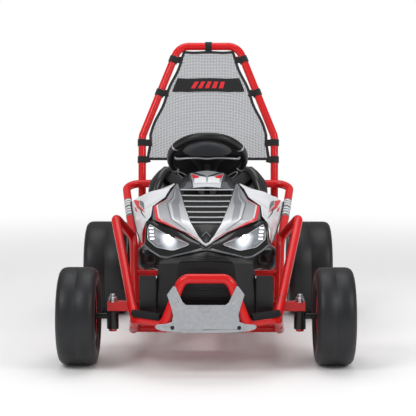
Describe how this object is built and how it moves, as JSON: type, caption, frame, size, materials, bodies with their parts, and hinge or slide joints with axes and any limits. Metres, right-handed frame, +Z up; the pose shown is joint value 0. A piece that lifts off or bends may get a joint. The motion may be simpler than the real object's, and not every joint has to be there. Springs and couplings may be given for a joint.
{
  "type": "electric drift kart",
  "caption": "Child's electric drift kart with tubular frame, plastic nose with lamps, bucket seat, net roll hoop, steered front wheels and slick tyres.",
  "frame": {"origin": "on the floor under the middle of the kart's box", "axes": "+Z up, the front of the kart points to -Y, +X to the driver's left"},
  "size_m": [0.8, 1.087, 0.8875],
  "materials": {
    "frame_paint": "gloss powder coat",
    "net_mesh": "woven mesh",
    "webbing": "woven strap",
    "bumper_steel": "satin silver paint",
    "foam_rubber": "matte foam",
    "black_plastic": "satin moulded",
    "lamp_lens": "clear",
    "grey_plastic": "metallic grey",
    "white_plastic": "gloss white",
    "silver_plastic": "metallic silver",
    "seat_plastic": "gloss black",
    "seat_vinyl": "grained vinyl",
    "black_steel": "satin black",
    "motor_housing": "moulded housing",
    "tyre": "smooth slick",
    "rim_plastic": "moulded"
  },
  "bodies": {
    "chassis": {"lower_frame": "frame_paint", "side_rails": "frame_paint", "side_guards": "frame_paint", "roll_hoop": "frame_paint", "back_net": "net_mesh", "net_straps": "webbing", "front_beam": "frame_paint", "bumper_arch": "frame_paint", "bumper_plate": "bumper_steel", "foot_bars": "foam_rubber", "accelerator_pedal": "black_plastic", "brake_pedal": "black_plastic", "front_shield": "black_plastic", "nose_mask": "black_plastic", "head_lamps": "lamp_lens", "hood_panels": "grey_plastic", "grille": "black_plastic", "side_panels": "white_plastic", "cowl": "silver_plastic", "dash_panel": "black_plastic", "column_support": "frame_paint", "seat_shell": "seat_plastic", "seat_cushion": "seat_vinyl", "back_cushion": "seat_vinyl", "seat_belt": "webbing", "seat_mount": "frame_paint", "battery_box": "black_plastic", "rear_axle": "black_steel", "drive_motors": "motor_housing"},
    "steering": {"steering_column": "black_steel", "steering_wheel": "black_plastic", "wheel_pad": "black_plastic"},
    "knuckle_left": {"knuckle_left": "black_steel"},
    "knuckle_right": {"knuckle_right": "black_steel"},
    "tie_rod_left": {"tie_rod_left": "black_steel"},
    "tie_rod_right": {"tie_rod_right": "black_steel"},
    "wheel_front_left": {"tyre_front_left": "tyre", "rim_front_left": "rim_plastic"},
    "wheel_front_right": {"tyre_front_right": "tyre", "rim_front_right": "rim_plastic"},
    "wheel_rear_left": {"tyre_rear_left": "tyre", "rim_rear_left": "rim_plastic"},
    "wheel_rear_right": {"tyre_rear_right": "tyre", "rim_rear_right": "rim_plastic"}
  },
  "joints": [
    {"name": "steer", "type": "hinge", "parent": "chassis", "child": "steering", "pos_m": [0, 0.0235, 0.535], "axis": [0, 0.6428, 0.766], "range_deg": [-28, 28]},
    {"name": "knuckle_left", "type": "hinge", "parent": "chassis", "child": "knuckle_left", "pos_m": [0.255, -0.3765, 0.133], "axis": [0, 0, 1], "range_deg": [-28, 28]},
    {"name": "rod_left", "type": "hinge", "parent": "knuckle_left", "child": "tie_rod_left", "pos_m": [0.255, -0.3205, 0.14], "axis": [0, 0, 1], "range_deg": [-28, 28]},
    {"name": "spin_front_left", "type": "hinge", "parent": "knuckle_left", "child": "wheel_front_left", "pos_m": [0.3475, -0.3765, 0.133], "axis": [1, 0, 0], "continuous": true},
    {"name": "spin_rear_left", "type": "hinge", "parent": "chassis", "child": "wheel_rear_left", "pos_m": [0.33, 0.3935, 0.15], "axis": [1, 0, 0], "continuous": true},
    {"name": "knuckle_right", "type": "hinge", "parent": "chassis", "child": "knuckle_right", "pos_m": [-0.255, -0.3765, 0.133], "axis": [0, 0, 1], "range_deg": [-28, 28]},
    {"name": "rod_right", "type": "hinge", "parent": "knuckle_right", "child": "tie_rod_right", "pos_m": [-0.255, -0.3205, 0.14], "axis": [0, 0, 1], "range_deg": [-28, 28]},
    {"name": "spin_front_right", "type": "hinge", "parent": "knuckle_right", "child": "wheel_front_right", "pos_m": [-0.3475, -0.3765, 0.133], "axis": [1, 0, 0], "continuous": true},
    {"name": "spin_rear_right", "type": "hinge", "parent": "chassis", "child": "wheel_rear_right", "pos_m": [-0.33, 0.3935, 0.15], "axis": [1, 0, 0], "continuous": true}
  ],
  "couplings": [
    {"joint": "knuckle_left", "follows": "steer", "ratio": 1},
    {"joint": "rod_left", "follows": "steer", "ratio": -1},
    {"joint": "knuckle_right", "follows": "steer", "ratio": 1},
    {"joint": "rod_right", "follows": "steer", "ratio": -1}
  ]
}
